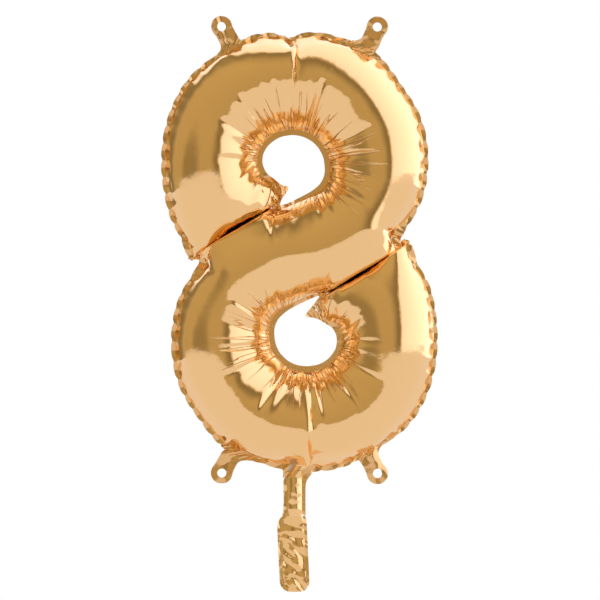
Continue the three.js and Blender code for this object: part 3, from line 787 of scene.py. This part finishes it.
def new_finish(name):
    finish = bpy.data.materials.new(name)
    finish.use_nodes = True
    return finish, finish.node_tree, finish.node_tree.nodes["Principled BSDF"]


# %% Gold film


def crease_height(tree):
    """Thin folds that run out from an opening, spiky at their ends: 1 in a fold and 0 on smooth film."""
    line = add_node(tree, "ShaderNodeAttribute", {}, attribute_name="crease_line").outputs["Vector"]
    axes = add_node(tree, "ShaderNodeSeparateXYZ", {"Vector": line})
    squashed = add_node(tree, "ShaderNodeVectorMath", {0: line, 1: (1, 1, 0.05)}, operation="MULTIPLY")
    squashed = squashed.outputs[0]
    wander = add_node(tree, "ShaderNodeTexNoise", {"Vector": squashed, "Scale": 9, "Detail": 1})
    off_fold = add_node(tree, "ShaderNodeMath", {0: wander.outputs["Fac"], 1: 0.5}, operation="SUBTRACT")
    apart = add_node(tree, "ShaderNodeMath", {0: off_fold.outputs[0]}, operation="ABSOLUTE")
    ends = add_node(tree, "ShaderNodeTexNoise", {"Vector": squashed, "Scale": 16, "Detail": 0})
    last = add_node(tree, "ShaderNodeMath", {0: ends.outputs["Fac"], 1: 0.75}, operation="ADD")
    last = last.outputs[0]
    left = add_node(tree, "ShaderNodeMath", {0: last, 1: axes.outputs["Z"]}, operation="SUBTRACT")
    width = add_node(
        tree,
        "ShaderNodeMapRange",
        {"Value": left.outputs[0], "From Max": 1.2, "To Min": 0.0001, "To Max": 0.07},
    )
    width = width.outputs["Result"]
    share = add_node(tree, "ShaderNodeMath", {0: apart.outputs[0], 1: width}, operation="DIVIDE")
    folds = add_node(tree, "ShaderNodeMapRange", {"Value": share.outputs[0], "To Min": 1, "To Max": 0})
    return folds.outputs["Result"]


def gold_film(name, tint, roughness, ripple_mm, ripple, grain_mm, grain, fold=0.0):
    """Metallised film: soft ripples a few millimetres long, a fine crumple of its skin, and thin folds."""
    finish, tree, shader = new_finish(name)
    place = add_node(tree, "ShaderNodeTexCoord", {}).outputs["Object"]
    waves = add_node(
        tree,
        "ShaderNodeTexNoise",
        {"Vector": place, "Scale": 1000 / ripple_mm, "Detail": 2, "Roughness": 0.5},
    )
    skin = add_node(
        tree,
        "ShaderNodeTexNoise",
        {"Vector": place, "Scale": 1000 / grain_mm, "Detail": 3, "Roughness": 0.6},
    )
    low = add_node(
        tree, "ShaderNodeBump", {"Height": waves.outputs["Fac"], "Strength": 1, "Distance": ripple * MM}
    )
    both = add_node(
        tree,
        "ShaderNodeBump",
        {
            "Height": skin.outputs["Fac"],
            "Strength": 1,
            "Distance": grain * MM,
            "Normal": low.outputs["Normal"],
        },
    )
    cloud = add_node(tree, "ShaderNodeTexNoise", {"Vector": place, "Scale": 1000 / 30, "Detail": 2})
    rough = add_node(
        tree,
        "ShaderNodeMapRange",
        {"Value": cloud.outputs["Fac"], "To Min": roughness * 0.75, "To Max": roughness * 1.25},
    )
    tree.links.new(rough.outputs["Result"], shader.inputs["Roughness"])
    if fold:
        both = add_node(
            tree,
            "ShaderNodeBump",
            {
                "Height": crease_height(tree),
                "Strength": 1,
                "Distance": fold * MM,
                "Normal": both.outputs["Normal"],
            },
            invert=True,
        )
    tree.links.new(both.outputs["Normal"], shader.inputs["Normal"])
    shader.inputs["Base Color"].default_value = linear(tint)
    shader.inputs["Metallic"].default_value = 1
    shader.inputs["Coat Weight"].default_value = 0.6
    shader.inputs["Coat Roughness"].default_value = 0.08
    return finish


blown_gold = gold_film("metallised_gold_film", "#FFD495", 0.1, 9.0, 0.12, 1.6, 0.012, fold=0.9)
welded_gold = gold_film("heat_welded_gold_film", "#EFC080", 0.18, 4.0, 0.15, 1.2, 0.04)
slack_gold = gold_film("slack_gold_film", "#FBCE8C", 0.14, 6.0, 0.5, 1.4, 0.03)

# %% Clear valve film
clear_film, tree, shader = new_finish("polyethylene_valve_film")
place = add_node(tree, "ShaderNodeTexCoord", {}).outputs["Object"]
haze = add_node(tree, "ShaderNodeTexNoise", {"Vector": place, "Scale": 1000 / 2.0, "Detail": 2})
haze = haze.outputs["Fac"]
bump = add_node(tree, "ShaderNodeBump", {"Height": haze, "Strength": 1, "Distance": 0.04 * MM})
tree.links.new(bump.outputs["Normal"], shader.inputs["Normal"])
shader.inputs["Base Color"].default_value = linear("#ECE8DF")
shader.inputs["Roughness"].default_value = 0.3
shader.inputs["IOR"].default_value = 1.51
shader.inputs["Alpha"].default_value = 0.55

# %% Give every piece its finish
for name, piece in pieces.items():
    if name in ("front_foil", "back_foil"):
        piece.data.materials.append(blown_gold)
    elif name.endswith("ply"):
        piece.data.materials.append(slack_gold)
    else:
        piece.data.materials.append(welded_gold)
for name, finish in (
    ("valve_front_film", clear_film),
    ("valve_back_film", clear_film),
    ("valve_front_seat", welded_gold),
    ("valve_back_seat", welded_gold),
):
    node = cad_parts[name]
    node.data.materials.clear()
    node.data.materials.append(finish)

# %% [markdown]
# ## The studio
# A mirror shows its room, so the room decides how the foil looks: white behind the balloon,
# bright on the right, and dimmer on the left and behind the camera, which gives the dark bands
# between the highlights. There are no lamps, and all the light comes from the world.

# %% Room, lights and floor
world = bpy.data.worlds.new("studio")
scene.world = world
world.use_nodes = True
tree = world.node_tree
background = tree.nodes["Background"]
background.inputs["Color"].default_value = (1, 1, 1, 1)
ways = add_node(tree, "ShaderNodeTexCoord", {}).outputs["Generated"]
toward_light = add_node(
    tree, "ShaderNodeVectorMath", {0: ways, 1: (0.79, 0.59, 0.12)}, operation="DOT_PRODUCT"
)
upward = add_node(tree, "ShaderNodeSeparateXYZ", {"Vector": ways})
dim = add_node(
    tree,
    "ShaderNodeMapRange",
    {"Value": upward.outputs["Z"], "From Min": -1, "From Max": 1, "To Min": 0.42, "To Max": 0.58},
)
lit = add_node(
    tree,
    "ShaderNodeMapRange",
    {"Value": toward_light.outputs["Value"], "From Min": 0, "From Max": 1, "To Min": 1.3, "To Max": 1.75},
)
bright_side = add_node(
    tree,
    "ShaderNodeMapRange",
    {"Value": toward_light.outputs["Value"], "From Min": -0.14, "From Max": 0.0},
    interpolation_type="SMOOTHSTEP",
)
lightward = toward_light.outputs["Value"]
edge_shade = add_node(
    tree,
    "ShaderNodeMapRange",
    {"Value": lightward, "From Min": -0.5, "From Max": -0.14, "To Min": 1, "To Max": 0.45},
    interpolation_type="SMOOTHSTEP",
)
left_shade = add_node(
    tree,
    "ShaderNodeMapRange",
    {"Value": lightward, "From Min": -0.98, "From Max": -0.86, "To Min": 0.62, "To Max": 1},
    interpolation_type="SMOOTHSTEP",
)
shades = add_node(
    tree,
    "ShaderNodeMath",
    {0: edge_shade.outputs["Result"], 1: left_shade.outputs["Result"]},
    operation="MULTIPLY",
)
shaded = add_node(
    tree, "ShaderNodeMath", {0: dim.outputs["Result"], 1: shades.outputs[0]}, operation="MULTIPLY"
)
level = add_node(
    tree,
    "ShaderNodeMix",
    {"Factor": bright_side.outputs["Result"], "A": shaded.outputs[0], "B": lit.outputs["Result"]},
)
tone = add_node(
    tree,
    "ShaderNodeMix",
    {0: bright_side.outputs["Result"], 6: linear("#FFE7AE"), 7: linear("#EFEDF9")},
    data_type="RGBA",
)
room = add_node(tree, "ShaderNodeBackground", {"Color": tone.outputs[2], "Strength": level.outputs[0]})
seen = add_node(tree, "ShaderNodeLightPath", {}).outputs["Is Camera Ray"]
backdrop = add_node(tree, "ShaderNodeMixShader", {0: seen, 1: room.outputs[0], 2: background.outputs[0]})
tree.links.new(backdrop.outputs[0], tree.nodes["World Output"].inputs["Surface"])

floor_mesh = bpy.data.meshes.new("studio_floor")
bm = bmesh.new()
bmesh.ops.create_circle(bm, cap_ends=True, segments=96, radius=6)
bm.to_mesh(floor_mesh)
bm.free()
floor_mesh.transform(Matrix.Translation((0, 0, -0.95)))
floor = bpy.data.objects.new("studio_floor", floor_mesh)
scene.collection.objects.link(floor)
pale, tree, shader = new_finish("pale_paper")
shader.inputs["Base Color"].default_value = linear("#EFEEEA")
shader.inputs["Roughness"].default_value = 0.9
floor_mesh.materials.append(pale)
floor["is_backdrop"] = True
scene.view_settings.view_transform = "Standard"

sizes = {"cad": [list(c) for c in cad_box], "visual": [list(c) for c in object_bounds()]}
print("sizes", sizes, round(time.time() - started), "s")
